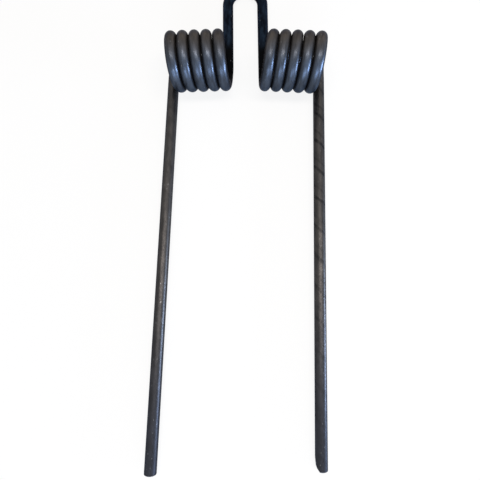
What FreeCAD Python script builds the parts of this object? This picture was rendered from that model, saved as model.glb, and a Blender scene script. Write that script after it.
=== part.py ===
"""Double torsion spring tine of a cultivator, bent from one length of round spring steel wire.

The tine lies on its back. The two long legs run along -Y, the clamping loop points along +Y and
leans a little to the left, and the two coils stand on the ground with their axes across the tine,
so that every straight length of the wire touches the ground at z = 0. The two coils wind in
opposite hands. Lengths are millimetres and angles are degrees.
"""

import FreeCAD, Part
import math
import os
from types import SimpleNamespace

import Sketcher
from FreeCAD import Placement, Rotation, Vector

# The sizes that a spring maker would be given: name, value, what it is.
DRIVING_SIZES = (
    ("wire_diameter", 10.0, "diameter of the round spring wire"),
    ("coil_inside_diameter", 30.0, "bore of each coil"),
    ("coil_turns", 5, "whole turns in each coil"),
    ("turn_gap", 0.1, "gap between neighbouring turns of a coil"),
    ("coil_lean", 2.6, "how far each coil's outer end leans towards the legs"),
    ("loop_gap", 23.2, "clear width inside the clamping loop"),
    ("loop_height", 72.5, "from the line between the coils up to the centre of the loop's bend"),
    ("set_radius", 120.0, "radius of the slight bends where the wire meets a coil"),
    ("left_leg", 340.2, "straight length of the left leg"),
    ("right_leg", 332.0, "straight length of the right leg"),
    ("tip_edge_break", 0.8, "chamfer round both cut ends of the wire"),
    ("taper_length", 10.5, "length of the worn inner side of the right tip"),
    ("taper_depth", 1.1, "wire worn off that side where its corner begins"),
    ("corner_length", 2.6, "length of the worn corner, along the leg"),
    ("corner_depth", 2.1, "wire worn off the corner, across the leg, past the taper"),
)

LEFT = -1
RIGHT = 1
# A third of a turn between two neighbouring stations of a coil keeps the arcs within 0.05 mm of a helix.
STATIONS_PER_TURN = 3


def fill_sheet(document):
    """The spreadsheet with one driving size in each row."""
    sheet = document.addObject("Spreadsheet::Sheet", "Sizes")
    for row, (name, value, meaning) in enumerate(DRIVING_SIZES, start=1):
        sheet.set(f"A{row}", name)
        sheet.set(f"B{row}", str(value))
        sheet.set(f"C{row}", meaning)
        sheet.setAlias(f"B{row}", name)
    document.recompute()
    return sheet


def read_sizes(sheet):
    """The sheet's sizes, with the ones that follow from them."""
    size = SimpleNamespace(**{name: float(getattr(sheet, name)) for name, _, _ in DRIVING_SIZES})
    size.coil_turns = max(1, round(size.coil_turns))
    size.wire_radius = size.wire_diameter / 2
    size.coil_radius = (size.coil_inside_diameter + size.wire_diameter) / 2
    size.loop_radius = (size.loop_gap + size.wire_diameter) / 2
    size.turn_step = size.wire_diameter + size.turn_gap
    size.coil_lean = math.radians(size.coil_lean)
    size.lead_angle = math.asin(size.turn_step / (2 * math.pi * size.coil_radius))
    # The wire leaves a coil this far off the length of the legs. The right side of the loop runs on
    # straight from its coil, so the whole loop leans by the same angle.
    size.entry_angle = size.lead_angle - size.coil_lean
    # The left side is bent back by twice that angle, along an arc that ends straight above its start.
    size.left_bend = 2 * size.set_radius * math.sin(size.entry_angle)
    across = 2 * size.loop_radius + size.left_bend * math.sin(size.entry_angle)
    size.coil_offset = across / (2 * math.cos(size.entry_angle))
    return size


def leaning(size, direction):
    """A direction of the loop, in the frame of the legs."""
    return Rotation(Vector(0, 0, 1), math.degrees(size.entry_angle)).multVec(direction)


def loop_placement(size):
    """The loop's own frame, in the frame of the legs: its Y axis runs along the middle of the loop."""
    middle = Vector(0, size.left_bend / 2, 0)
    along = leaning(size, Vector(0, 1, 0))
    origin = middle - along * middle.dot(along)
    return Placement(origin, Rotation(Vector(0, 0, 1), math.degrees(size.entry_angle)))


def coil_station(size, side, angle):
    """The wire's centre and direction on a coil, at an angle in radians wound from the loop side."""
    axis = Vector(side * math.cos(size.coil_lean), -math.sin(size.coil_lean), 0)
    down = Vector(0, 0, -1)
    ahead = Vector(-side * math.sin(size.coil_lean), -math.cos(size.coil_lean), 0)
    rise = size.turn_step / math.cos(size.lead_angle) / (2 * math.pi)
    centre = Vector(side * size.coil_offset, 0, size.wire_radius + size.coil_radius)
    radial = down * math.cos(angle) + ahead * math.sin(angle)
    swing = ahead * math.cos(angle) - down * math.sin(angle)
    point = centre + radial * size.coil_radius + axis * (rise * angle)
    direction = swing * size.coil_radius + axis * rise
    return point, direction.normalize()


def arc_between(start, direction, end):
    """The circular arc that leaves the start in a direction and passes through the end."""
    chord = end - start
    normal = direction.cross(chord).normalize()
    inward = normal.cross(direction)
    radius = chord.dot(chord) / (2 * chord.dot(inward))
    centre = start + inward * radius
    half_turn = math.asin(min(1.0, chord.Length / (2 * radius)))
    middle = centre + Rotation(normal, math.degrees(half_turn)).multVec(start - centre)
    return Part.Arc(start, middle, end).toShape()


def tangent_arcs(first, last):
    """Two arcs of equal tangent length that join two stations and follow the wire's direction at both."""
    start, start_direction = first
    end, end_direction = last
    chord = end - start
    both = start_direction + end_direction
    square = 4 - both.dot(both)
    slope = chord.dot(both)
    reach = (math.sqrt(slope * slope + square * chord.dot(chord)) - slope) / square
    corner = start + start_direction * reach
    far_corner = end - end_direction * reach
    joint = (corner + far_corner) * 0.5
    joint_direction = (far_corner - corner).normalize()
    return [arc_between(start, start_direction, joint), arc_between(joint, joint_direction, end)]


def coil_edges(size, side):
    """The arcs of one whole coil, from the loop side to its leg."""
    steps = size.coil_turns * STATIONS_PER_TURN
    angles = [2 * math.pi * step / STATIONS_PER_TURN for step in range(steps + 1)]
    stations = [coil_station(size, side, angle) for angle in angles]
    edges = []
    for first, last in zip(stations, stations[1:]):
        edges.extend(tangent_arcs(first, last))
    return edges


def loop_edges(size, side):
    """One half of the clamping loop, from its middle to the start of its coil."""
    frame = loop_placement(size)
    height = size.wire_radius
    crown = frame.multVec(Vector(0, size.loop_height + size.loop_radius, height))
    bend_end = frame.multVec(Vector(side * size.loop_radius, size.loop_height, height))
    coil_start, _ = coil_station(size, side, 0)
    edges = [arc_between(crown, leaning(size, Vector(side, 0, 0)), bend_end)]
    if side == RIGHT:
        edges.append(Part.LineSegment(bend_end, coil_start).toShape())
    else:
        set_start = coil_start + Vector(0, size.left_bend, 0)
        edges.append(Part.LineSegment(bend_end, set_start).toShape())
        edges.append(arc_between(set_start, leaning(size, Vector(0, -1, 0)), coil_start))
    return edges


def leg_edges(size, side, leg_length):
    """The slight bend below a coil and the straight leg."""
    coil_end, _ = coil_station(size, side, 2 * math.pi * size.coil_turns)
    sideways = size.set_radius * (1 - math.cos(size.entry_angle))
    down = size.set_radius * math.sin(size.entry_angle)
    leg_start = coil_end + Vector(side * sideways, -down, 0)
    tip = leg_start + Vector(0, -leg_length, 0)
    bend = arc_between(leg_start, Vector(0, 1, 0), coil_end)
    bend.reverse()
    return [bend, Part.LineSegment(leg_start, tip).toShape()]


def half_path(size, side, leg_length):
    """The wire's centre line from the middle of the loop to one tip: straight runs and tangent arcs."""
    edges = loop_edges(size, side)
    edges.extend(coil_edges(size, side))
    edges.extend(leg_edges(size, side, leg_length))
    wire = Part.Wire(edges)
    wire.transformShape(loop_placement(size).inverse().toMatrix())
    return wire


def add_path(document, name, wire):
    """A centre line as an object of the document."""
    path = document.addObject("Part::Feature", name)
    path.Label = name
    path.Shape = wire
    return path


def origin_plane(body, role):
    """One of a body's own origin planes."""
    return next(item for item in body.Origin.OriginFeatures if item.Role == role)


def add_wire_section(body):
    """The round section of the wire, drawn across the middle of the loop."""
    sketch = body.newObject("Sketcher::SketchObject", "WireSection")
    sketch.AttachmentSupport = [(origin_plane(body, "YZ_Plane"), "")]
    sketch.MapMode = "FlatFace"
    circle = sketch.addGeometry(Part.Circle(Vector(90, 5, 0), Vector(0, 0, 1), 5), False)
    sketch.addConstraint(Sketcher.Constraint("Diameter", circle, 10))
    sketch.addConstraint(Sketcher.Constraint("DistanceX", -1, 1, circle, 3, 90))
    sketch.addConstraint(Sketcher.Constraint("DistanceY", -1, 1, circle, 3, 5))
    crown = "Sizes.loop_height + (Sizes.loop_gap + Sizes.wire_diameter) / 2"
    sketch.setExpression("Constraints[0]", "Sizes.wire_diameter")
    sketch.setExpression("Constraints[1]", crown)
    sketch.setExpression("Constraints[2]", "Sizes.wire_diameter / 2")
    return sketch


def add_half(body, name, section, path):
    """Half of the wire, swept along its centre line from the middle of the loop."""
    pipe = body.newObject("PartDesign::AdditivePipe", name)
    pipe.Profile = section
    pipe.Spine = (path, [f"Edge{number}" for number in range(1, len(path.Shape.Edges) + 1)])
    pipe.Mode = "Standard"
    return pipe


def tip_edges(feature, tips):
    """The names of the circular edges round the wire's cut ends."""
    names = []
    for number, edge in enumerate(feature.Shape.Edges, start=1):
        if isinstance(edge.Curve, Part.Circle):
            if any(edge.Curve.Center.distanceToPoint(tip) < 1e-3 for tip in tips):
                names.append(f"Edge{number}")
    return names


def add_edge_breaks(body, feature, tips):
    """The small chamfer round both cut ends."""
    chamfer = body.newObject("PartDesign::Chamfer", "TipEdgeBreaks")
    chamfer.Base = (feature, tip_edges(feature, tips))
    chamfer.setExpression("Size", "Sizes.tip_edge_break")
    return chamfer


def add_worn_corner_outline(body, tip, turn):
    """The outline of what the inner corner of the right tip lacks, drawn from the centre of that tip."""
    outline = body.newObject("Sketcher::SketchObject", "WornCornerOutline")
    outline.AttachmentSupport = [(origin_plane(body, "XY_Plane"), "")]
    outline.MapMode = "FlatFace"
    outline.AttachmentOffset = Placement(Vector(tip.x, tip.y, 0), turn)
    corners = [
        Vector(-5, 10, 0),
        Vector(-4, 3, 0),
        Vector(-2, 0, 0),
        Vector(-2, -9, 0),
        Vector(-15, -9, 0),
        Vector(-15, 10, 0),
    ]
    for first, last in zip(corners, corners[1:] + corners[:1]):
        outline.addGeometry(Part.LineSegment(first, last), False)
    for line in range(len(corners)):
        joint = Sketcher.Constraint("Coincident", line, 2, (line + 1) % len(corners), 1)
        outline.addConstraint(joint)
    outline.addConstraint(Sketcher.Constraint("Vertical", 2))
    outline.addConstraint(Sketcher.Constraint("Horizontal", 3))
    outline.addConstraint(Sketcher.Constraint("Vertical", 4))
    outline.addConstraint(Sketcher.Constraint("Horizontal", 5))
    distances = (
        ("DistanceX", (0, 1, -1, 1), 5, "Sizes.wire_diameter / 2"),
        ("DistanceY", (-1, 1, 0, 1), 10, "Sizes.taper_length"),
        ("DistanceX", (0, 1, 0, 2), 1, "Sizes.taper_depth"),
        ("DistanceY", (-1, 1, 0, 2), 3, "Sizes.corner_length"),
        ("DistanceX", (1, 1, 1, 2), 2, "Sizes.corner_depth"),
        ("DistanceY", (1, 2, -1, 1), 0, None),
        ("DistanceY", (2, 2, -1, 1), 9, "Sizes.wire_diameter"),
        ("DistanceX", (3, 2, 0, 1), 10, "Sizes.wire_diameter"),
    )
    for kind, ends, value, expression in distances:
        index = outline.addConstraint(Sketcher.Constraint(kind, *ends, value))
        if expression:
            outline.setExpression(f"Constraints[{index}]", expression)
    return outline


def cut_worn_corner(body, outline):
    """The cut that takes the worn corner off, right through the wire."""
    pocket = body.newObject("PartDesign::Pocket", "WornCorner")
    pocket.Profile = outline
    pocket.Type = "ThroughAll"
    pocket.Midplane = True
    return pocket


def check_document(document):
    """Stops the build at the first object that failed, and at a null or invalid shape."""
    document.recompute()
    for item in document.Objects:
        if {"Invalid", "Error"} & set(item.State):
            raise RuntimeError(f"{item.Name} failed: {item.State}")
    for item in document.findObjects("PartDesign::Body"):
        if item.Shape.isNull() or not item.Shape.isValid():
            raise RuntimeError(f"{item.Label} has no valid shape")


def check_wire(body, wires, size):
    """Compares the solid's volume with the wire's section times its length, and prints both."""
    length = sum(wire.Length for wire in wires)
    expected = math.pi * size.wire_radius**2 * length
    print(f"{body.Label}: {length:.1f} mm of wire, {body.Shape.Volume:.0f} mm3 of {expected:.0f} mm3")
    if len(body.Shape.Solids) != 1 or not 0.99 * expected < body.Shape.Volume <= expected:
        raise RuntimeError("the wire isn't one solid of the right volume")


def write_parts(document):
    """Each body's shape as a STEP file named after its label."""
    os.makedirs("parts", exist_ok=True)
    for body in document.findObjects("PartDesign::Body"):
        body.Shape.exportStep(os.path.join("parts", f"{body.Label}.step"))


def main():
    document = FreeCAD.newDocument("SpringTine")
    size = read_sizes(fill_sheet(document))
    wires = [half_path(size, LEFT, size.left_leg), half_path(size, RIGHT, size.right_leg)]
    paths = [add_path(document, name, wire) for name, wire in zip(("LeftCentreLine", "RightCentreLine"), wires)]
    tips = [wire.Vertexes[-1].Point for wire in wires]

    loop_frame = loop_placement(size)
    top = loop_frame.multVec(Vector(0, size.loop_height, 0)).y + size.loop_radius + size.wire_radius
    bottom = min(loop_frame.multVec(tip).y for tip in tips)

    # The body is drawn in the loop's own frame and then turned, so that its legs run along Y.
    body = document.addObject("PartDesign::Body", "Tine")
    body.Label = "spring_tine"
    body.Placement = Placement(Vector(0, -(top + bottom) / 2, 0), Rotation()).multiply(loop_frame)
    section = add_wire_section(body)
    for name, path in zip(("LeftHalf", "RightHalf"), paths):
        wire_feature = add_half(body, name, section, path)
        document.recompute()
    edge_breaks = add_edge_breaks(body, wire_feature, tips)
    document.recompute()
    outline = add_worn_corner_outline(body, tips[-1], loop_frame.Rotation.inverted())
    document.recompute()
    whole = edge_breaks.Shape.Volume
    cut = cut_worn_corner(body, outline)
    document.recompute()
    if not cut.Shape.Volume < whole:
        raise RuntimeError("the worn corner took nothing off the tip")

    check_document(document)
    check_wire(body, wires, size)
    write_parts(document)


if __name__ == "__main__":
    main()
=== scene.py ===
"""Dressed model of a cultivator's double torsion spring tine, bent from one length of oil-tempered wire."""

import logging
import math
from collections.abc import Iterable, Sequence
from dataclasses import dataclass, field
from enum import Enum

import bpy
import numpy as np
from mathutils import Matrix, Vector


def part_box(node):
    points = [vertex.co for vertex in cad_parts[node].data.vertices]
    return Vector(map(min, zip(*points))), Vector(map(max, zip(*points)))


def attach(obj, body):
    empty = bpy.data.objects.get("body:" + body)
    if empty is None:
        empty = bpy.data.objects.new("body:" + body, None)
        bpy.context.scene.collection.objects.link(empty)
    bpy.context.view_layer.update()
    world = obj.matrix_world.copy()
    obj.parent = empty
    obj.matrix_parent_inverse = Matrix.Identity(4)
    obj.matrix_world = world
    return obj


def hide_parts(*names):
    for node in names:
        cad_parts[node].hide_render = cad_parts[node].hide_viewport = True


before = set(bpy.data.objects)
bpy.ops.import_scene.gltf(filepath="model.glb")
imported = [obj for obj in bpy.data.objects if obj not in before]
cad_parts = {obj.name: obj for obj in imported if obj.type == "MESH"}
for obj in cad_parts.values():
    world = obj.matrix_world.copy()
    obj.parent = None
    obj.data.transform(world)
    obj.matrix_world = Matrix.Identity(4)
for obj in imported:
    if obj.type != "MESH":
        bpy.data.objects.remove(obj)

LOG = logging.getLogger("spring_tine")
MILLIMETRE = 0.001
FULL_TURN = 2 * math.pi
DOWN = np.array([0.0, 0.0, -1.0])
CAD_NODE = "spring_tine"
BODY = "root"


class Side(Enum):
    """The two mirrored halves of the tine, by the sign of their X."""

    LEFT = -1
    RIGHT = 1


class Mask(Enum):
    """The masks from 0 to 1 that the skin carries for its finish and for its painted light and shade, by the
    names of their attributes.
    """

    LOOP = "loop_share"
    COIL = "coil_share"
    MARKS = "mark_share"
    END = "end_share"
    PAINTED_SHADE = "painted_shade_share"
    GROOVE = "groove_share"
    TIPWARD_LIGHT = "tipward_light_share"


@dataclass
class CentreLine:
    """Stations along the middle of the wire.

    Args:
        points: Positions of the stations, one row each, in metres.
        loop: How far each station belongs to the clamping loop, from 0 to 1.
        coil: How far each station belongs to a coil, from 0 to 1.
        marks: How strongly each station carries the helical marks of straightening rolls.
        end: How far each station is towards the tip of a leg, from 0 to 1.
        painted_shade: How much painted shade each station carries, where the loop runs in under its coil.
        axis: Direction of the coil's own axis at each station, or the cross direction elsewhere.
    """

    points: np.ndarray
    loop: np.ndarray
    coil: np.ndarray
    marks: np.ndarray
    end: np.ndarray
    painted_shade: np.ndarray
    axis: np.ndarray

    def parts(self) -> tuple[np.ndarray, ...]:
        """Everything that each station holds, in the order of the fields."""
        return self.points, self.loop, self.coil, self.marks, self.end, self.painted_shade, self.axis

    def reversed(self) -> "CentreLine":
        """The same stations from the other end."""
        return CentreLine(*(part[::-1] for part in self.parts()))

    def joined(self, other: "CentreLine") -> "CentreLine":
        """This line followed by another that starts at its last station.

        Args:
            other: The line that goes on.

        Returns:
            One line without a doubled station at the joint.
        """
        pairs = zip(self.parts(), other.parts())
        return CentreLine(*(np.concatenate([first, second[1:]]) for first, second in pairs))

    def lengths(self) -> np.ndarray:
        """The distance of each station from the first one, along the wire."""
        steps = np.linalg.norm(np.diff(self.points, axis=0), axis=1)
        return np.concatenate([[0.0], np.cumsum(steps)])

    def directions(self) -> np.ndarray:
        """The wire's unit direction at each station."""
        ahead = np.gradient(self.points, self.lengths(), axis=0, edge_order=2)
        return ahead / np.linalg.norm(ahead, axis=1, keepdims=True)


@dataclass
class TineShape:
    """The spring maker's sizes of the tine, in metres and radians."""

    wire_diameter: float = 10.0 * MILLIMETRE
    coil_inside_diameter: float = 30.0 * MILLIMETRE
    coil_turns: int = 5
    turn_gap: float = 0.1 * MILLIMETRE
    coil_lean: float = math.radians(2.6)
    loop_gap: float = 23.2 * MILLIMETRE
    loop_height: float = 72.5 * MILLIMETRE
    set_radius: float = 120.0 * MILLIMETRE
    left_leg: float = 340.2 * MILLIMETRE
    right_leg: float = 332.0 * MILLIMETRE
    tip_edge_break: float = 0.8 * MILLIMETRE
    taper_length: float = 10.5 * MILLIMETRE
    taper_depth: float = 1.1 * MILLIMETRE
    corner_length: float = 2.6 * MILLIMETRE
    corner_depth: float = 2.1 * MILLIMETRE

    @property
    def wire_radius(self) -> float:
        """Half the wire's diameter."""
        return self.wire_diameter / 2

    @property
    def coil_radius(self) -> float:
        """Radius of the wire's middle round a coil."""
        return (self.coil_inside_diameter + self.wire_diameter) / 2

    @property
    def loop_radius(self) -> float:
        """Radius of the wire's middle round the closed end of the loop."""
        return (self.loop_gap + self.wire_diameter) / 2

    @property
    def turn_step(self) -> float:
        """Distance between the middles of neighbouring turns."""
        return self.wire_diameter + self.turn_gap

    @property
    def lead_angle(self) -> float:
        """Angle at which the wire climbs round its coil."""
        return math.asin(self.turn_step / (2 * math.pi * self.coil_radius))

    @property
    def entry_angle(self) -> float:
        """Angle by which the wire leaves a coil off the length of the legs, and the lean of the loop."""
        return self.lead_angle - self.coil_lean

    @property
    def left_bend(self) -> float:
        """Chord of the slight bend between the loop's left side and its coil."""
        return 2 * self.set_radius * math.sin(self.entry_angle)

    @property
    def coil_offset(self) -> float:
        """Distance of each coil's first station from the middle of the tine."""
        across = 2 * self.loop_radius + self.left_bend * math.sin(self.entry_angle)
        return across / (2 * math.cos(self.entry_angle))

    def loop_point(self, across: float, along: float) -> np.ndarray:
        """A point given in the loop's own leaning frame.

        Args:
            across: Distance from the middle line of the loop, to the right.
            along: Distance along the middle line, from abreast of the coils' first stations.

        Returns:
            The same point in the frame of the legs, at the height of the wire's middle.
        """
        lean = self.entry_angle
        ahead = np.array([-math.sin(lean), math.cos(lean), 0.0])
        aside = np.array([math.cos(lean), math.sin(lean), 0.0])
        middle = np.array([0.0, self.left_bend / 2, 0.0])
        origin = middle - ahead * float(middle @ ahead)
        return origin + aside * across + ahead * along + np.array([0.0, 0.0, self.wire_radius])

    def coil_points(self, side: Side, angles: np.ndarray) -> np.ndarray:
        """Points of the wire's middle round a coil.

        Args:
            side: Which of the two coils.
            angles: Angles wound from the loop side, in radians.

        Returns:
            One point for each angle.
        """
        sign, lean = side.value, self.coil_lean
        axis = self.coil_axis(side)
        ahead = np.array([-sign * math.sin(lean), -math.cos(lean), 0.0])
        rise = self.turn_step / math.cos(self.lead_angle) / (2 * math.pi)
        centre = np.array([sign * self.coil_offset, 0.0, self.wire_radius + self.coil_radius])
        radial = np.cos(angles)[:, None] * DOWN + np.sin(angles)[:, None] * ahead
        return centre + radial * self.coil_radius + (rise * angles)[:, None] * axis

    def coil_axis(self, side: Side) -> np.ndarray:
        """The direction of a coil's own axis, pointing away from the loop."""
        return np.array([side.value * math.cos(self.coil_lean), -math.sin(self.coil_lean), 0.0])

    def leg_length(self, side: Side) -> float:
        """The straight length of one leg."""
        return self.left_leg if side is Side.LEFT else self.right_leg


def spaced(length: float, step: float) -> np.ndarray:
    """Even parameters from 0 to 1 whose steps are no longer than the given one.

    Args:
        length: Real length that the parameters cover.
        step: Longest step wanted.

    Returns:
        The parameters.
    """
    return np.linspace(0.0, 1.0, max(2, math.ceil(length / step) + 1))


def smooth_step(values: np.ndarray, start: float, end: float) -> np.ndarray:
    """A soft ramp from 0 at start to 1 at end.

    Args:
        values: Where the ramp is wanted.
        start: Value at which it leaves 0.
        end: Value at which it reaches 1.

    Returns:
        The ramp at each value.
    """
    share = np.clip((values - start) / (end - start), 0.0, 1.0)
    return share * share * (3 - 2 * share)


@dataclass
class WireRoute:
    """The path of the wire from one tip over both coils to the other tip.

    Args:
        shape: The sizes of the tine.
        straight_step: Longest step between stations of a straight run.
        tip_step: Longest step near a tip.
        tip_stretch: Length of the finely stepped end of a leg, in wire diameters.
        bend_step: Longest step round the loop's bend.
        set_steps: Steps through the slight bend at a coil.
        steps_per_turn: Steps round each turn of a coil.
        loop_fade: Length over which one stretch's finish passes into the next one's.
        right_marks: Strength of the roller marks at the top of the right leg.
        left_marks: Strength of the roller marks at the top of the left leg.
        mark_fade: Shares of a leg's length between which the roller marks grow faint.
        mark_loss: How much of the roller marks is gone past that.
        shade_above: How far up the loop the painted shade reaches, from where its coil starts.
        shade_past: How far round the coil's first turn it reaches.
        shade_fade: Shares of those two lengths at which it grows less, past the start and above it.
    """

    shape: TineShape
    straight_step: float = 2.2 * MILLIMETRE
    tip_step: float = 0.4 * MILLIMETRE
    tip_stretch: float = 2.5
    bend_step: float = 1.3 * MILLIMETRE
    set_steps: int = 4
    steps_per_turn: int = 96
    loop_fade: float = 9.0 * MILLIMETRE
    right_marks: float = 1.0
    left_marks: float = 0.25
    mark_fade: tuple[float, float] = (0.30, 0.9)
    mark_loss: float = 0.75
    shade_above: float = 34.0 * MILLIMETRE
    shade_past: float = 26.0 * MILLIMETRE
    shade_fade: tuple[float, float] = (0.4, 0.6)

    def part(self, points: np.ndarray, loop: float, coil: float, axis: np.ndarray) -> CentreLine:
        """A stretch of the wire whose shares don't change along it.

        Args:
            points: Its stations.
            loop: Its share in the loop.
            coil: Its share in a coil.
            axis: The coil axis that belongs to it.

        Returns:
            The stretch.
        """
        count = len(points)
        one, none = np.ones(count), np.zeros(count)
        return CentreLine(points, one * loop, one * coil, none, none, none, np.tile(axis, (count, 1)))

    def loop_half(self, side: Side) -> CentreLine:
        """One half of the loop, from its middle down to the first station of its coil.

        Args:
            side: Which half.

        Returns:
            The half, with the slight bend at the foot of the left one.
        """
        shape, sign = self.shape, side.value
        quarter = spaced(shape.loop_radius * math.pi / 2, self.bend_step) * math.pi / 2
        bend = [
            shape.loop_point(
                sign * shape.loop_radius * math.sin(angle),
                shape.loop_height + shape.loop_radius * math.cos(angle),
            )
            for angle in quarter
        ]
        last = shape.coil_points(side, np.array([0.0]))[0]
        axis = shape.coil_axis(side)
        if side is Side.RIGHT:
            share = spaced(shape.loop_height, self.straight_step)[1:, None]
            points = np.concatenate([bend, bend[-1] + (last - bend[-1]) * share])
            return self.part(points, 1.0, 0.0, axis)
        start = last + np.array([0.0, shape.left_bend, 0.0])
        share = spaced(shape.loop_height, self.straight_step)[1:, None]
        turn = np.linspace(shape.entry_angle, -shape.entry_angle, 2 * self.set_steps + 1)[1:]
        centre = start + shape.set_radius * np.array(
            [-math.cos(shape.entry_angle), -math.sin(shape.entry_angle), 0.0]
        )
        arc = centre + shape.set_radius * np.stack([np.cos(turn), np.sin(turn), 0 * turn], axis=1)
        points = np.concatenate([bend, bend[-1] + (start - bend[-1]) * share, arc])
        return self.part(points, 1.0, 0.0, axis)

    def coil(self, side: Side) -> CentreLine:
        """One whole coil.

        Args:
            side: Which coil.

        Returns:
            Its stations, from the loop side to its leg.
        """
        count = self.shape.coil_turns * self.steps_per_turn
        angles = np.linspace(0.0, FULL_TURN * self.shape.coil_turns, count + 1)
        return self.part(self.shape.coil_points(side, angles), 0.0, 1.0, self.shape.coil_axis(side))

    def leg(self, side: Side) -> CentreLine:
        """The slight bend below a coil and the straight leg down to its tip.

        Args:
            side: Which leg.

        Returns:
            Its stations, closer together near the tip.
        """
        shape, sign = self.shape, side.value
        first = shape.coil_points(side, np.array([FULL_TURN * shape.coil_turns]))[0]
        lean = shape.entry_angle
        turn = np.linspace(lean, 0.0, self.set_steps + 1)
        bend = first + shape.set_radius * np.stack(
            [sign * (np.cos(turn) - math.cos(lean)), np.sin(turn) - math.sin(lean), 0 * turn], axis=1
        )
        length = shape.leg_length(side)
        near_tip = length - self.tip_stretch * shape.wire_diameter
        down = np.concatenate(
            [
                spaced(near_tip, self.straight_step)[1:] * near_tip,
                near_tip + spaced(length - near_tip, self.tip_step)[1:] * (length - near_tip),
            ]
        )
        points = np.concatenate([bend, bend[-1] + down[:, None] * np.array([0.0, -1.0, 0.0])])
        line = self.part(points, 0.0, 0.0, shape.coil_axis(side))
        share = line.lengths() / line.lengths()[-1]
        strength = self.right_marks if side is Side.RIGHT else self.left_marks
        fading = smooth_step(share, *self.mark_fade)
        line.marks = strength * (1 - self.mark_loss * fading)
        line.end = share
        return line

    def half(self, side: Side) -> CentreLine:
        """Half of the wire.

        Args:
            side: Which half.

        Returns:
            Its stations, from the middle of the loop to the tip.
        """
        loop = self.loop_half(side)
        line = loop.joined(self.coil(side)).joined(self.leg(side))
        # Painted shade: a share that darkens the wire where the loop runs in under its coil, from a little up
        # the loop to partway round the first turn.
        past_start = line.lengths() - loop.lengths()[-1]
        near, far = self.shade_fade
        reaching_in = smooth_step(past_start, -self.shade_above, -far * self.shade_above)
        coming_out = smooth_step(past_start, near * self.shade_past, self.shade_past)
        line.painted_shade = reaching_in * (1 - coming_out)
        return line

    def whole(self) -> CentreLine:
        """The whole wire, with shares that change softly.

        Returns:
            Its stations, from the left tip to the right tip.
        """
        line = self.half(Side.LEFT).reversed().joined(self.half(Side.RIGHT))
        lengths = line.lengths()
        line.loop = self.softened(line.loop, lengths)
        line.coil = self.softened(line.coil, lengths)
        return line

    def softened(self, shares: np.ndarray, lengths: np.ndarray) -> np.ndarray:
        """Shares whose steps are spread over a short length of wire.

        Args:
            shares: The shares with sharp steps.
            lengths: Each station's distance along the wire.

        Returns:
            The spread shares.
        """
        even = np.arange(0.0, lengths[-1], MILLIMETRE)
        width = int(self.loop_fade / MILLIMETRE)
        window = np.hanning(2 * width + 1)
        padded = np.pad(np.interp(even, lengths, shares), width, mode="edge")
        spread = np.convolve(padded, window / window.sum(), mode="valid")
        return np.interp(lengths, even, spread)


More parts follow.
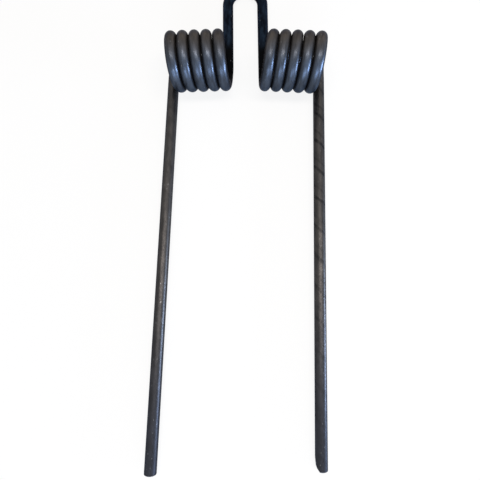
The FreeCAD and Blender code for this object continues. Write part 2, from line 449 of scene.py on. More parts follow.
@dataclass
class WireSkin:
    """The surface of the wire: rings round its middle line, and its two cut ends.

    The skin carries the place that each of its points would have on the straight, unwound wire, so
    that a finish can follow the wire through every bend.
    """

    shape: TineShape
    line: CentreLine
    around: int = 40
    cap_rings: tuple[float, ...] = (0.72, 0.42, 0.16)
    cap_dish: float = 0.12 * MILLIMETRE
    cut_slot: int = 1
    groove_start: float = 0.62
    sharp_angle: float = math.radians(50)

    def frames(self) -> tuple[np.ndarray, np.ndarray, np.ndarray]:
        """Directions across the wire that turn no more than its bends make them.

        Returns:
            The wire's direction and two directions across it, for each station.
        """
        ahead = self.line.directions()
        first = np.array([0.0, 0.0, 1.0])
        first = first - ahead[0] * float(first @ ahead[0])
        across = [first / np.linalg.norm(first)]
        for before, after in zip(ahead, ahead[1:]):
            turned = self.carried(across[-1], before, after)
            across.append(turned)
        up = np.array(across)
        return ahead, up, np.cross(ahead, up)

    @staticmethod
    def carried(across: np.ndarray, before: np.ndarray, after: np.ndarray) -> np.ndarray:
        """A direction across the wire, carried from one station to the next without twisting.

        Args:
            across: The direction at the first station.
            before: The wire's direction there.
            after: The wire's direction at the next station.

        Returns:
            The direction at the next station.
        """
        turn = Vector(before).rotation_difference(Vector(after))
        carried = np.array(turn @ Vector(across))
        carried = carried - after * float(carried @ after)
        return carried / np.linalg.norm(carried)

    def radii(self, lengths: np.ndarray) -> np.ndarray:
        """The wire's radius at each station, less the rounded breaks of its two end edges.

        Args:
            lengths: Each station's distance along the wire.

        Returns:
            One radius for each station.
        """
        to_tip = np.minimum(lengths, lengths[-1] - lengths)
        share = np.clip(to_tip / self.shape.tip_edge_break, 0.0, 1.0)
        loss = self.shape.tip_edge_break * (1 - np.sqrt(1 - (1 - share) ** 2 * 0.85)) / 0.62
        return self.shape.wire_radius - np.minimum(loss, self.shape.tip_edge_break)

    def worn(self, points: np.ndarray, tip: np.ndarray) -> np.ndarray:
        """Skin points with the worn inner corner of the right tip taken off.

        Args:
            points: The skin points of the whole wire, ring by ring.
            tip: The middle of the right tip.

        Returns:
            The points, those past the worn faces moved back on to them.
        """
        shape, radius = self.shape, self.shape.wire_radius
        along = points[..., 1] - tip[1]
        stations = [0.0, shape.corner_length, shape.taper_length]
        depths = [shape.taper_depth + shape.corner_depth, shape.taper_depth, 0.0]
        limit = tip[0] - radius + np.interp(along, stations, depths)
        on_leg = (points[..., 0] > 0) & (along < shape.taper_length)
        moved = points.copy()
        moved[..., 0] = np.where(on_leg, np.maximum(points[..., 0], limit), points[..., 0])
        return moved

    def rings(self) -> tuple[np.ndarray, np.ndarray, np.ndarray]:
        """The skin's points.

        Returns:
            Points ring by ring, the same points on the straight wire, and their directions outward.
        """
        ahead, up, aside = self.frames()
        lengths = self.line.lengths()
        radii = self.radii(lengths)
        turn = np.linspace(0.0, FULL_TURN, self.around, endpoint=False)
        cosine, sine = np.cos(turn)[None, :, None], np.sin(turn)[None, :, None]
        outward = cosine * up[:, None, :] + sine * aside[:, None, :]
        points = self.line.points[:, None, :] + outward * radii[:, None, None]
        unwound = np.empty_like(points)
        unwound[..., 0] = np.cos(turn)[None, :] * radii[:, None]
        unwound[..., 1] = np.sin(turn)[None, :] * radii[:, None]
        unwound[..., 2] = lengths[:, None]
        return self.worn(points, self.line.points[-1]), unwound, outward

    def groove(self, outward: np.ndarray) -> np.ndarray:
        """How far each point faces a neighbouring turn of its coil, from 0 to 1."""
        facing = np.abs(np.einsum("rak,rk->ra", outward, self.line.axis))
        return smooth_step(facing, self.groove_start, 1.0) * self.line.coil[:, None]

    def masks(self, outward: np.ndarray) -> dict[Mask, np.ndarray]:
        """The masks of the wire's round face.

        Args:
            outward: Each point's direction outward, ring by ring.

        Returns:
            One value for each point and mask.
        """
        line = self.line
        along = {
            Mask.LOOP: line.loop,
            Mask.COIL: line.coil,
            Mask.MARKS: line.marks,
            Mask.END: line.end,
            Mask.PAINTED_SHADE: line.painted_shade,
        }
        masks = {mask: np.repeat(values, self.around) for mask, values in along.items()}
        masks[Mask.GROOVE] = self.groove(outward).reshape(-1)
        # How far each point faces the leg tips; this sets the painted cool and warm light on the coils.
        masks[Mask.TIPWARD_LIGHT] = (0.5 - 0.5 * outward[..., 1]).reshape(-1)
        return masks

    def side_faces(self, count: int) -> list[list[int]]:
        """The four-cornered faces between neighbouring rings.

        Args:
            count: Number of rings.

        Returns:
            The corners of each face, by their numbers.
        """
        row = np.arange(self.around)
        after = (row + 1) % self.around
        faces = []
        for number in range(count - 1):
            near, far = number * self.around, (number + 1) * self.around
            faces.append(np.stack([near + row, near + after, far + after, far + row], axis=1))
        return np.concatenate(faces).tolist()

    def cap(
        self, rings: np.ndarray, unwound: np.ndarray, ring: int, used: int, ways: float
    ) -> tuple[list[np.ndarray], list[np.ndarray], list[list[int]]]:
        """One cut end: a few rings that sink a little towards a middle point.

        Args:
            rings: The points of the wire's round face, ring by ring.
            unwound: The same points on the straight wire.
            ring: Number of the wire's first or last ring.
            used: Number of points there are already.
            ways: 1 at the wire's start, where the faces look back, and -1 at its end.

        Returns:
            The new points, the same points on the straight wire, and the faces.
        """
        outer, middle = rings[ring], rings[ring].mean(0)
        inward = self.line.directions()[ring] * ways
        row = list(range(self.around))
        pairs = list(zip(row, row[1:] + row[:1]))
        points, straight, faces = [], [], []
        edge = ring * self.around
        for share in self.cap_rings:
            points.append(middle + (outer - middle) * share + inward * self.cap_dish * (1 - share))
            straight.append(unwound[ring] * np.array([share, share, 1.0]))
            faces += [[edge + i, used + i, used + j, edge + j] for i, j in pairs]
            edge, used = used, used + self.around
        points.append(middle[None] + inward * self.cap_dish)
        straight.append(np.array([[0.0, 0.0, unwound[ring, 0, 2]]]))
        faces += [[edge + i, used, edge + j] for i, j in pairs]
        return points, straight, faces if ways > 0 else [face[::-1] for face in faces]

    def build(self, name: str) -> bpy.types.Object:
        """Makes the mesh object.

        Args:
            name: Name of the new object.

        Returns:
            The object, with its attributes and smooth faces.
        """
        rings, unwound, outward = self.rings()
        count = len(rings)
        points, straight = [rings.reshape(-1, 3)], [unwound.reshape(-1, 3)]
        faces = self.side_faces(count)
        round_faces = len(faces)
        for ring, ways in ((0, 1.0), (count - 1, -1.0)):
            used = sum(len(part) for part in points)
            cap_points, cap_straight, cap_faces = self.cap(rings, unwound, ring, used, ways)
            points += cap_points
            straight += cap_straight
            faces += cap_faces
        points = np.concatenate(points)
        mesh = bpy.data.meshes.new(name)
        mesh.from_pydata(points.tolist(), [], faces)
        slots = [0] * round_faces + [self.cut_slot] * (len(faces) - round_faces)
        mesh.polygons.foreach_set("material_index", slots)
        mesh.polygons.foreach_set("use_smooth", [True] * len(faces))
        store = mesh.attributes.new("unwound", "FLOAT_VECTOR", "POINT")
        store.data.foreach_set("vector", np.concatenate(straight).astype(np.float32).ravel())
        for mask, values in self.masks(outward).items():
            store = mesh.attributes.new(mask.value, "FLOAT", "POINT")
            whole = np.concatenate([values, np.zeros(len(points) - len(values))])
            store.data.foreach_set("value", whole.astype(np.float32))
        mesh.validate()
        mesh.set_sharp_from_angle(angle=self.sharp_angle)
        skin = bpy.data.objects.new(name, mesh)
        bpy.context.scene.collection.objects.link(skin)
        return skin


class Graph:
    """Shorthand for building a tree of shader nodes."""

    # Places of the colour sockets on a Mix node.
    FIRST_COLOUR = 6
    SECOND_COLOUR = 7
    MIXED_COLOUR = 2

    def __init__(self, tree: bpy.types.NodeTree) -> None:
        """Starts on a tree.

        Args:
            tree: The tree that the nodes go into.
        """
        self.tree = tree

    def node(
        self, kind: str, inputs: dict[str | int, object] | None = None, **settings: object
    ) -> bpy.types.Node:
        """Adds a node.

        Args:
            kind: Its type, without the leading ShaderNode.
            inputs: Values or sockets for its inputs, by name or number.
            settings: Its own properties.

        Returns:
            The node.
        """
        node = self.tree.nodes.new("ShaderNode" + kind)
        for name, value in settings.items():
            setattr(node, name, value)
        for key, value in (inputs or {}).items():
            self.feed(value, node.inputs[key])
        return node

    def feed(self, value: object, target: bpy.types.NodeSocket) -> None:
        """Links a socket to an input, or sets the input to a plain value.

        Args:
            value: The socket or the plain value.
            target: The input.
        """
        if isinstance(value, bpy.types.NodeSocket):
            self.tree.links.new(value, target)
        else:
            target.default_value = value

    def sum(self, operation: str, *values: object, clamp: bool = False) -> bpy.types.NodeSocket:
        """A Math node's result.

        Args:
            operation: The node's operation.
            values: Its inputs in order.
            clamp: Whether to keep the result between 0 and 1.

        Returns:
            The result's socket.
        """
        node = self.node("Math", dict(enumerate(values)), operation=operation, use_clamp=clamp)
        return node.outputs[0]

    def span(
        self, value: object, low: float, high: float, to_low: float = 0.0, to_high: float = 1.0
    ) -> bpy.types.NodeSocket:
        """A value's place between two bounds, eased at both.

        Args:
            value: The value.
            low: Bound that gives to_low.
            high: Bound that gives to_high.
            to_low: Result at and below the lower bound.
            to_high: Result at and above the upper bound.

        Returns:
            The result's socket.
        """
        inputs = {"Value": value, "From Min": low, "From Max": high, "To Min": to_low, "To Max": to_high}
        return self.node("MapRange", inputs, interpolation_type="SMOOTHSTEP").outputs[0]

    def blend(self, share: object, first: object, second: object) -> bpy.types.NodeSocket:
        """Two colours mixed.

        Args:
            share: How much of the second.
            first: The first colour.
            second: The second colour.

        Returns:
            The mixed colour's socket.
        """
        inputs = {"Factor": share, self.FIRST_COLOUR: first, self.SECOND_COLOUR: second}
        return self.node("Mix", inputs, data_type="RGBA").outputs[self.MIXED_COLOUR]

    def scaled(self, vector: object, scale: Sequence[float]) -> bpy.types.NodeSocket:
        """A vector multiplied by one number for each of its parts."""
        return self.node("VectorMath", {0: vector, 1: tuple(scale)}, operation="MULTIPLY").outputs[0]

    def resized(self, vector: object, factor: object) -> bpy.types.NodeSocket:
        """A vector multiplied by one number."""
        return self.node("VectorMath", {0: vector, "Scale": factor}, operation="SCALE").outputs[0]

    def noise(
        self, vector: object, scale: float, detail: float = 3.0, rough: float = 0.5
    ) -> bpy.types.NodeSocket:
        """The grey value of a noise.

        Args:
            vector: Where to read it.
            scale: How fine it is.
            detail: Number of finer octaves.
            rough: How strong those are.

        Returns:
            The value's socket.
        """
        inputs = {"Vector": vector, "Scale": scale, "Detail": detail, "Roughness": rough}
        return self.node("TexNoise", inputs, noise_dimensions="3D").outputs[0]


class EffectGroup:
    """A shared effect as a node group, built once."""

    title = "Effect"
    inputs: dict[str, tuple[str, object]] = {}
    outputs: dict[str, str] = {}

    @classmethod
    def tree(cls) -> bpy.types.NodeTree:
        """The group's tree, made on its first use.

        Returns:
            The tree.
        """
        found = bpy.data.node_groups.get(cls.title)
        if found:
            return found
        tree = bpy.data.node_groups.new(cls.title, "ShaderNodeTree")
        for name, (kind, value) in cls.inputs.items():
            socket = tree.interface.new_socket(name, in_out="INPUT", socket_type=kind)
            if value is not None:
                socket.default_value = value
        for name, kind in cls.outputs.items():
            tree.interface.new_socket(name, in_out="OUTPUT", socket_type=kind)
        given = tree.nodes.new("NodeGroupInput")
        result = tree.nodes.new("NodeGroupOutput")
        made = cls.wire(Graph(tree), given.outputs)
        for name, socket in made.items():
            tree.links.new(socket, result.inputs[name])
        return tree

    @classmethod
    def wire(cls, graph: Graph, given: bpy.types.NodeOutputs) -> dict[str, bpy.types.NodeSocket]:
        """Builds the effect's nodes.

        Args:
            graph: The group's graph.
            given: The group's inputs.

        Returns:
            A socket for each of the group's outputs.
        """
        raise NotImplementedError

    @classmethod
    def place(cls, graph: Graph, **values: object) -> bpy.types.NodeOutputs:
        """Puts the group into a material.

        Args:
            graph: The material's graph.
            values: The group's inputs, with _ for each space in a name.

        Returns:
            The placed group's outputs.
        """
        node = graph.tree.nodes.new("ShaderNodeGroup")
        node.node_tree = cls.tree()
        for name, value in values.items():
            graph.feed(value, node.inputs[name.replace("_", " ")])
        return node.outputs


FLOAT = "NodeSocketFloat"
VECTOR = "NodeSocketVector"
WHITE = (1.0, 1.0, 1.0)


class DrawLines(EffectGroup):
    """Fine lines that the drawing die left along the wire."""

    title = "Draw Lines"
    fine_scale = 1900.0
    broad_scale = 520.0
    inputs = {"Vector": (VECTOR, None), "Fineness": (FLOAT, 1.0)}
    outputs = {"Mask": FLOAT, "Height": FLOAT}

    @classmethod
    def wire(cls, graph: Graph, given: bpy.types.NodeOutputs) -> dict[str, bpy.types.NodeSocket]:
        """Long thin noise at two widths.

        Args:
            graph: The group's graph.
            given: The group's inputs.

        Returns:
            A socket for each of the group's outputs.
        """
        place = graph.resized(given["Vector"], given["Fineness"])
        fine = graph.noise(graph.scaled(place, (1.0, 1.0, 0.025)), cls.fine_scale, 2.0)
        broad = graph.noise(graph.scaled(place, (1.0, 1.0, 0.03)), cls.broad_scale, 3.0)
        height = graph.sum("ADD", graph.sum("MULTIPLY", fine, 0.45), graph.sum("MULTIPLY", broad, 0.55))
        return {"Mask": graph.span(broad, 0.36, 0.66), "Height": height}


class ScaleMottle(EffectGroup):
    """Cloudy patches of the thin scale that oil tempering leaves."""

    title = "Scale Mottle"
    cloud_scale = 210.0
    speckle_scale = 1300.0
    contrast = (0.34, 0.68)
    inputs = {"Vector": (VECTOR, None), "Fineness": (FLOAT, 1.0)}
    outputs = {"Patches": FLOAT, "Speckle": FLOAT, "Height": FLOAT}

    @classmethod
    def wire(cls, graph: Graph, given: bpy.types.NodeOutputs) -> dict[str, bpy.types.NodeSocket]:
        """Stretched clouds with a fine speckle in them.

        Args:
            graph: The group's graph.
            given: The group's inputs.

        Returns:
            A socket for each of the group's outputs.
        """
        place = graph.resized(given["Vector"], given["Fineness"])
        clouds = graph.noise(graph.scaled(place, (1.0, 1.0, 0.35)), cls.cloud_scale, 4.0, 0.6)
        speckle = graph.noise(graph.scaled(place, (1.0, 1.0, 0.6)), cls.speckle_scale, 3.0, 0.65)
        return {
            "Patches": graph.span(clouds, *cls.contrast),
            "Speckle": graph.span(speckle, *cls.contrast),
            "Height": graph.sum("ADD", clouds, graph.sum("MULTIPLY", speckle, 0.35)),
        }


class RollerMarks(EffectGroup):
    """Marks that the straightening rolls left round the wire in a long screw line and a fainter one."""

    title = "Roller Marks"
    wander = 1.4
    main_band = (0.93, 0.995)
    faint_band = (0.965, 0.998)
    faint_place = 2.2
    faint_strength = 0.45
    inputs = {"Vector": (VECTOR, None), "Pitch": (FLOAT, 0.026), "Share": (FLOAT, 1.0)}
    outputs = {"Mask": FLOAT, "Height": FLOAT}

    @classmethod
    def wire(cls, graph: Graph, given: bpy.types.NodeOutputs) -> dict[str, bpy.types.NodeSocket]:
        """A screw line and a fainter one beside it, both broken up by noise.

        Args:
            graph: The group's graph.
            given: The group's inputs.

        Returns:
            A socket for each of the group's outputs.
        """
        parts = graph.node("SeparateXYZ", {0: given["Vector"]}).outputs
        angle = graph.sum("ARCTAN2", parts[1], parts[0])
        turn = graph.sum("MULTIPLY", graph.sum("DIVIDE", parts[2], given["Pitch"]), FULL_TURN)
        wander = graph.sum("MULTIPLY", graph.noise(given["Vector"], 90.0, 2.0), cls.wander)
        phase = graph.sum("ADD", graph.sum("ADD", turn, angle), wander)
        main = graph.span(cls.ridge(graph, phase), *cls.main_band)
        beside = cls.ridge(graph, graph.sum("ADD", phase, cls.faint_place))
        faint = graph.span(beside, *cls.faint_band, 0.0, cls.faint_strength)
        broken = graph.noise(graph.scaled(given["Vector"], (1.0, 1.0, 0.7)), 330.0, 3.0, 0.6)
        gaps = graph.span(broken, 0.30, 0.58, 0.35, 1.0)
        mask = graph.sum("MULTIPLY", graph.sum("MAXIMUM", main, faint), gaps)
        shared = graph.sum("MULTIPLY", mask, given["Share"])
        return {"Mask": shared, "Height": graph.sum("MULTIPLY", shared, -1.0)}

    @staticmethod
    def ridge(graph: Graph, phase: bpy.types.NodeSocket) -> bpy.types.NodeSocket:
        """A wave between 0 and 1 that is highest once in each turn of the phase."""
        return graph.sum("ADD", graph.sum("MULTIPLY", graph.sum("COSINE", phase), 0.5), 0.5)


class Nicks(EffectGroup):
    """Small bright nicks where the scale was knocked off."""

    title = "Nicks"
    cell_scale = 260.0
    spot_edge = (0.10, 0.24)
    inputs = {"Vector": (VECTOR, None), "Fineness": (FLOAT, 1.0), "Rarity": (FLOAT, 0.8)}
    outputs = {"Mask": FLOAT, "Height": FLOAT}

    @classmethod
    def wire(cls, graph: Graph, given: bpy.types.NodeOutputs) -> dict[str, bpy.types.NodeSocket]:
        """Small cells, of which few are picked.

        Args:
            graph: The group's graph.
            given: The group's inputs.

        Returns:
            A socket for each of the group's outputs.
        """
        place = graph.resized(graph.scaled(given["Vector"], (1.0, 1.0, 0.5)), given["Fineness"])
        cells = graph.node("TexVoronoi", {"Vector": place, "Scale": cls.cell_scale}, feature="F1")
        picked = graph.node("SeparateColor", {0: cells.outputs["Color"]}).outputs[0]
        chosen = graph.sum("GREATER_THAN", picked, given["Rarity"])
        spot = graph.span(cells.outputs["Distance"], *cls.spot_edge, 1.0, 0.0)
        mask = graph.sum("MULTIPLY", chosen, spot)
        return {"Mask": mask, "Height": graph.sum("MULTIPLY", mask, -1.0)}


def opaque(colour: Sequence[float]) -> tuple[float, float, float, float]:
    """A colour with full alpha."""
    return (*colour, 1.0)


@dataclass(frozen=True)
class TemperedSteel:
    """The dark skin of oil-tempered spring wire, with painted light and shade in its colour."""

    name: str = "oil_tempered_steel"
    leg_scale: tuple[float, float, float] = (0.056, 0.052, 0.050)
    leg_tip_colour: tuple[float, float, float] = (0.034, 0.036, 0.045)
    # Painted light: warm brown for the coil sides facing the loop, cool blue for those facing the tips.
    warm_lit_side_colour: tuple[float, float, float] = (0.086, 0.073, 0.062)
    cool_lit_side_colour: tuple[float, float, float] = (0.058, 0.073, 0.100)
    dark_scale: tuple[float, float, float] = (0.020, 0.020, 0.021)
    bare_colour: tuple[float, float, float] = (0.16, 0.165, 0.175)
    mark_colour: tuple[float, float, float] = (0.012, 0.012, 0.013)
    # Painted shade: near black and blue-black for the loop.
    loop_shade_colour: tuple[float, float, float] = (0.002, 0.003, 0.006)
    loop_shade_mottle: tuple[float, float, float] = (0.012, 0.021, 0.036)
    # Painted shade: near black, where the loop runs in under its coil.
    painted_shade_colour: tuple[float, float, float] = (0.0010, 0.0010, 0.0012)
    # Dirt and painted shade between the turns of a coil.
    grime_and_shade_colour: tuple[float, float, float] = (0.006, 0.004, 0.003)
    edge_tint: tuple[float, float, float] = (0.35, 0.38, 0.45)
    metallic: float = 0.85
    coil_roughness: float = 0.36
    leg_roughness: float = 0.38
    specular_level: float = 0.3
    nick_rarity: float = 0.92
    nick_fineness: float = 2.4
    patch_depth: float = 0.6
    streak_cover: float = 0.35
    mark_cover: float = 0.8
    groove_cover: float = 0.8
    nick_cover: float = 0.8
    groove_dulling: float = 0.25
    nick_polish: float = 0.24
    bump_strength: float = 0.35
    bump_depth: float = 0.12 * MILLIMETRE

    def material(self) -> bpy.types.Material:
        """Builds the material.

        Returns:
            The material.
        """
        material = bpy.data.materials.new(self.name)
        material.use_nodes = True
        graph = Graph(material.node_tree)
        shader = material.node_tree.nodes["Principled BSDF"]
        place = graph.node("Attribute", attribute_name="unwound").outputs["Vector"]
        masks = {mask: graph.node("Attribute", attribute_name=mask.value).outputs["Fac"] for mask in Mask}
        lines = DrawLines.place(graph, Vector=place)
        mottle = ScaleMottle.place(graph, Vector=place)
        marks = RollerMarks.place(graph, Vector=place, Share=masks[Mask.MARKS])
        nicks = Nicks.place(graph, Vector=place, Rarity=self.nick_rarity, Fineness=self.nick_fineness)

        colour = self.scale(graph, masks, mottle["Patches"], lines["Mask"])
        for cover, share, over in (
            (self.mark_cover, marks["Mask"], self.mark_colour),
            # Groove colour: dirt and painted shade between neighbouring turns of a coil.
            (self.groove_cover, masks[Mask.GROOVE], self.grime_and_shade_colour),
            (self.nick_cover, nicks["Mask"], self.bare_colour),
        ):
            colour = graph.blend(graph.sum("MULTIPLY", share, cover), colour, opaque(over))
        graph.feed(colour, shader.inputs["Base Color"])

        rough = graph.span(masks[Mask.COIL], 0.0, 1.0, self.leg_roughness, self.coil_roughness)
        rough = graph.sum("ADD", rough, graph.span(mottle["Speckle"], 0.0, 1.0, -0.06, 0.10))
        rough = graph.sum("ADD", rough, graph.sum("MULTIPLY", masks[Mask.GROOVE], self.groove_dulling))
        polished = graph.sum("MULTIPLY", nicks["Mask"], self.nick_polish)
        graph.feed(graph.sum("SUBTRACT", rough, polished, clamp=True), shader.inputs["Roughness"])
        shader.inputs["Metallic"].default_value = self.metallic
        shader.inputs["Specular Tint"].default_value = opaque(self.edge_tint)
        shader.inputs["Specular IOR Level"].default_value = self.specular_level

        height = graph.sum("ADD", lines["Height"], graph.sum("MULTIPLY", mottle["Height"], 1.2))
        height = graph.sum("ADD", height, graph.sum("MULTIPLY", marks["Height"], 1.2))
        height = graph.sum("ADD", height, nicks["Height"])
        inputs = {"Height": height, "Strength": self.bump_strength, "Distance": self.bump_depth}
        graph.feed(graph.node("Bump", inputs).outputs[0], shader.inputs["Normal"])
        return material

    def scale(
        self,
        graph: Graph,
        masks: dict[Mask, bpy.types.NodeSocket],
        patches: bpy.types.NodeSocket,
        streaks: bpy.types.NodeSocket,
    ) -> bpy.types.NodeSocket:
        """The colour of the scale with painted light and shade in it, on the coils' sides, the loop and where
        it runs under its coil, before marks, the dirt and painted shade of the grooves, and nicks.

        Args:
            graph: The material's graph.
            masks: The masks of the skin.
            patches: The cloudy patches.
            streaks: The lines along the wire.

        Returns:
            The colour's socket.
        """
        # Painted light: coil sides facing the tips are tinted cool blue and those facing the loop warm brown,
        # standing in for cool light from the tips' side and warm light from the loop's side.
        cool_lit_share = graph.span(masks[Mask.TIPWARD_LIGHT], 0.30, 0.80)
        coil_lit_tint = graph.blend(cool_lit_share, opaque(self.warm_lit_side_colour), opaque(self.cool_lit_side_colour))
        # Darker and bluer towards the tips of the legs.
        near_tip = graph.span(masks[Mask.END], 0.5, 1.0)
        leg_tint = graph.blend(near_tip, opaque(self.leg_scale), opaque(self.leg_tip_colour))
        tint = graph.blend(masks[Mask.COIL], leg_tint, coil_lit_tint)
        darker = graph.blend(self.patch_depth, tint, opaque(self.dark_scale))
        colour = graph.blend(patches, darker, tint)
        colour = graph.blend(graph.sum("MULTIPLY", streaks, self.streak_cover), colour, tint)
        # Painted shade: the loop is coloured near black with blue-black patches, standing in for the shade on
        # it.
        loop_shade_tint = graph.blend(patches, opaque(self.loop_shade_colour), opaque(self.loop_shade_mottle))
        colour = graph.blend(masks[Mask.LOOP], colour, loop_shade_tint)
        # Painted shade: near black where the loop runs in under its coil.
        return graph.blend(masks[Mask.PAINTED_SHADE], colour, opaque(self.painted_shade_colour))


@dataclass(frozen=True)
class ShearedSteel:
    """The bare, scored face of a wire cut by shears."""

    name: str = "sheared_steel"
    colour: tuple[float, float, float] = (0.16, 0.15, 0.145)
    stain: tuple[float, float, float] = (0.045, 0.036, 0.030)
    metallic: float = 0.85
    nick_rarity: float = 0.85
    nick_fineness: float = 1.5
    mottle_fineness: float = 1.6
    bump_strength: float = 0.5
    bump_depth: float = 0.2 * MILLIMETRE

    def material(self) -> bpy.types.Material:
        """Builds the material.

        Returns:
            The material.
        """
        material = bpy.data.materials.new(self.name)
        material.use_nodes = True
        graph = Graph(material.node_tree)
        shader = material.node_tree.nodes["Principled BSDF"]
        place = graph.node("Attribute", attribute_name="unwound").outputs["Vector"]
        mottle = ScaleMottle.place(graph, Vector=place, Fineness=self.mottle_fineness)
        nicks = Nicks.place(graph, Vector=place, Rarity=self.nick_rarity, Fineness=self.nick_fineness)
        scores = graph.noise(graph.scaled(place, (1.0, 0.12, 1.0)), 1500.0, 3.0)
        colour = graph.blend(mottle["Patches"], opaque(self.stain), opaque(self.colour))
        graph.feed(colour, shader.inputs["Base Color"])
        graph.feed(graph.span(mottle["Speckle"], 0.0, 1.0, 0.42, 0.62), shader.inputs["Roughness"])
        shader.inputs["Metallic"].default_value = self.metallic
        height = graph.sum("ADD", scores, graph.sum("MULTIPLY", nicks["Height"], 0.8))
        inputs = {"Height": height, "Strength": self.bump_strength, "Distance": self.bump_depth}
        graph.feed(graph.node("Bump", inputs).outputs[0], shader.inputs["Normal"])
        return material


@dataclass
class SpringTine:
    """The one piece of the tine."""

    shape: TineShape = field(default_factory=TineShape)
    name: str = "bent_spring_wire"

    def build(self) -> bpy.types.Object:
        """Makes the wire, sets it where the solid lies and dresses it.

        Returns:
            The finished piece.
        """
        line = WireRoute(self.shape).whole()
        skin = WireSkin(self.shape, line).build(self.name)
        self.set_in_place(skin)
        for finish in (TemperedSteel(), ShearedSteel()):
            skin.data.materials.append(finish.material())
        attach(skin, BODY)
        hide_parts(CAD_NODE)
        return skin

    def set_in_place(self, skin: bpy.types.Object) -> None:
        """Moves the skin's points so that its far end meets the solid's far end.

        Args:
            skin: The piece to move.
        """
        low, high = (Vector(corner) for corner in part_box(CAD_NODE))
        own_high = max(point.co.y for point in skin.data.vertices)
        skin.data.transform(Matrix.Translation((0.0, high.y - own_high, low.z)))


@dataclass(frozen=True)
class SoftLamp:
    """One soft rectangular lamp.

    Args:
        name: Its name.
        place: Where it stands.
        target: The point it faces.
        size: Its two sides in metres.
        power: Its power in watts.
        colour: The colour of its light.
    """

    name: str
    place: tuple[float, float, float]
    target: tuple[float, float, float]
    size: tuple[float, float]
    power: float
    colour: tuple[float, float, float]

    def build(self) -> None:
        """Puts the lamp up."""
        lamp = bpy.data.lights.new(self.name, "AREA")
        lamp.shape = "RECTANGLE"
        lamp.size, lamp.size_y = self.size
        lamp.energy = self.power
        lamp.color = self.colour
        holder = bpy.data.objects.new(self.name, lamp)
        aim = Vector(self.target) - Vector(self.place)
        holder.matrix_world = Matrix.LocRotScale(Vector(self.place), aim.to_track_quat("-Z", "Y"), None)
        bpy.context.scene.collection.objects.link(holder)


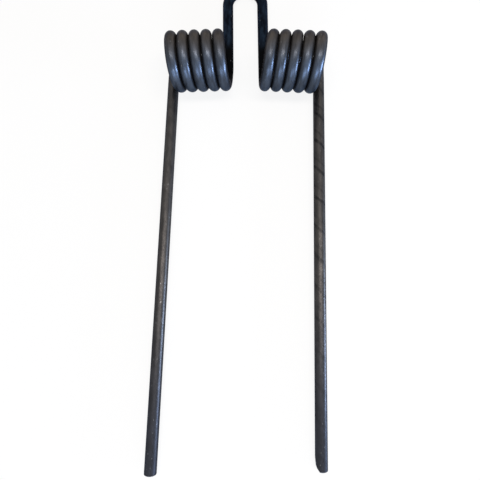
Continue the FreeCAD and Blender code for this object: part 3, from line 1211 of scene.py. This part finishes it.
@dataclass
class Studio:
    """Plain pale floor, soft lights and the camera."""

    floor_width: float = 8.0
    floor_gap: float = 0.05 * MILLIMETRE
    floor_white: float = 0.9
    floor_glow: float = 0.86
    sky_strength: float = 0.35
    sky_light: tuple[float, float, float] = (1.0, 0.93, 0.82)
    camera_place: tuple[float, float, float] = (0.0099608, -0.0811434, 0.3192644)
    camera_right: tuple[float, float, float] = (0.999149, 0.026698, -0.031431)
    camera_up: tuple[float, float, float] = (-0.021364, 0.98701, 0.159235)
    lens: float = 27.516298
    lamps: tuple[SoftLamp, ...] = (
        SoftLamp("warm_overhead", (0.20, 0.02, 1.6), (0.02, 0.02, 0.0), (0.32, 1.7), 18.0, (1.0, 0.93, 0.86)),
        SoftLamp("cool_right", (1.20, -0.24, 0.13), (0.0, 0.12, 0.02), (0.45, 0.20), 21.0, (0.55, 0.72, 1.0)),
        SoftLamp("cool_side", (1.20, -0.80, 0.34), (0.0, -0.15, 0.01), (0.6, 0.66), 2.4, (0.60, 0.72, 1.0)),
        SoftLamp("cool_tips", (0.1, -1.40, 0.50), (0.0, 0.0, 0.02), (1.4, 0.6), 18.0, (0.60, 0.75, 1.0)),
    )

    def build_floor(self) -> bpy.types.Object:
        """Makes the floor.

        Returns:
            The floor.
        """
        half = self.floor_width / 2
        corners = [(-half, -half, 0), (half, -half, 0), (half, half, 0), (-half, half, 0)]
        mesh = bpy.data.meshes.new("studio_floor")
        mesh.from_pydata([(x, y, -self.floor_gap) for x, y, _ in corners], [], [(0, 1, 2, 3)])
        floor = bpy.data.objects.new("studio_floor", mesh)
        bpy.context.scene.collection.objects.link(floor)
        mesh.materials.append(self.floor_material())
        return floor

    def floor_material(self) -> bpy.types.Material:
        """A matt white floor that shows part of its whiteness of itself.

        Returns:
            The material.
        """
        material = bpy.data.materials.new("studio_floor")
        material.use_nodes = True
        tree = material.node_tree
        tree.nodes.clear()
        graph = Graph(tree)
        matt = graph.node("BsdfDiffuse", {"Color": opaque([self.floor_white] * 3)})
        glow = graph.node("Emission", {"Color": opaque(WHITE), "Strength": 1.0})
        seen = graph.sum("MULTIPLY", self.seen_directly(graph), self.floor_glow)
        mixed = graph.node("MixShader", {0: seen, 1: matt.outputs[0], 2: glow.outputs[0]})
        output = graph.node("OutputMaterial")
        graph.feed(mixed.outputs[0], output.inputs["Surface"])
        return material

    def seen_directly(self, graph: Graph) -> bpy.types.NodeSocket:
        """Tells what the camera sees, also in gloss or through glass, from light.

        Args:
            graph: The material's or the world's graph.

        Returns:
            A socket that is 1 for what is seen and 0 for light.
        """
        path = graph.node("LightPath").outputs
        seen = graph.sum("MAXIMUM", path["Is Camera Ray"], path["Is Glossy Ray"])
        return graph.sum("MAXIMUM", seen, path["Is Transmission Ray"])

    def build_sky(self) -> None:
        """A white backdrop that lights the object only softly."""
        world = bpy.data.worlds.new("studio_sky")
        bpy.context.scene.world = world
        world.use_nodes = True
        graph = Graph(world.node_tree)
        backdrop = world.node_tree.nodes["Background"]
        seen = self.seen_directly(graph)
        graph.feed(graph.blend(seen, opaque(self.sky_light), opaque(WHITE)), backdrop.inputs["Color"])
        graph.feed(graph.span(seen, 0.0, 1.0, self.sky_strength, 1.0), backdrop.inputs["Strength"])

    def build_lamps(self) -> None:
        """Sets up the soft lamps."""
        for lamp in self.lamps:
            lamp.build()

    def build_camera(self) -> None:
        """Sets up the camera."""
        right, up = Vector(self.camera_right), Vector(self.camera_up)
        back = right.cross(up)
        turn = Matrix((right, up, back)).transposed().to_4x4()
        lens = bpy.data.cameras.new("camera")
        lens.sensor_width = 36.0
        lens.lens = self.lens
        lens.clip_start = 0.01
        lens.clip_end = 50.0
        camera = bpy.data.objects.new("camera", lens)
        camera.matrix_world = Matrix.Translation(Vector(self.camera_place)) @ turn
        bpy.context.scene.collection.objects.link(camera)
        bpy.context.scene.camera = camera

    def build(self) -> None:
        """Sets up everything round the object."""
        bpy.context.scene.view_settings.view_transform = "Standard"
        self.build_floor()
        self.build_sky()
        self.build_lamps()
        self.build_camera()


def main() -> None:
    """Builds the tine and its studio."""
    logging.basicConfig(level=logging.INFO, format="%(name)s: %(message)s")
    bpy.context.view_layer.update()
    Studio().build()
    tine = SpringTine().build()
    LOG.info("%s: %d points, %d faces", tine.name, len(tine.data.vertices), len(tine.data.polygons))
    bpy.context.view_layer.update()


if __name__ == "__main__":
    main()
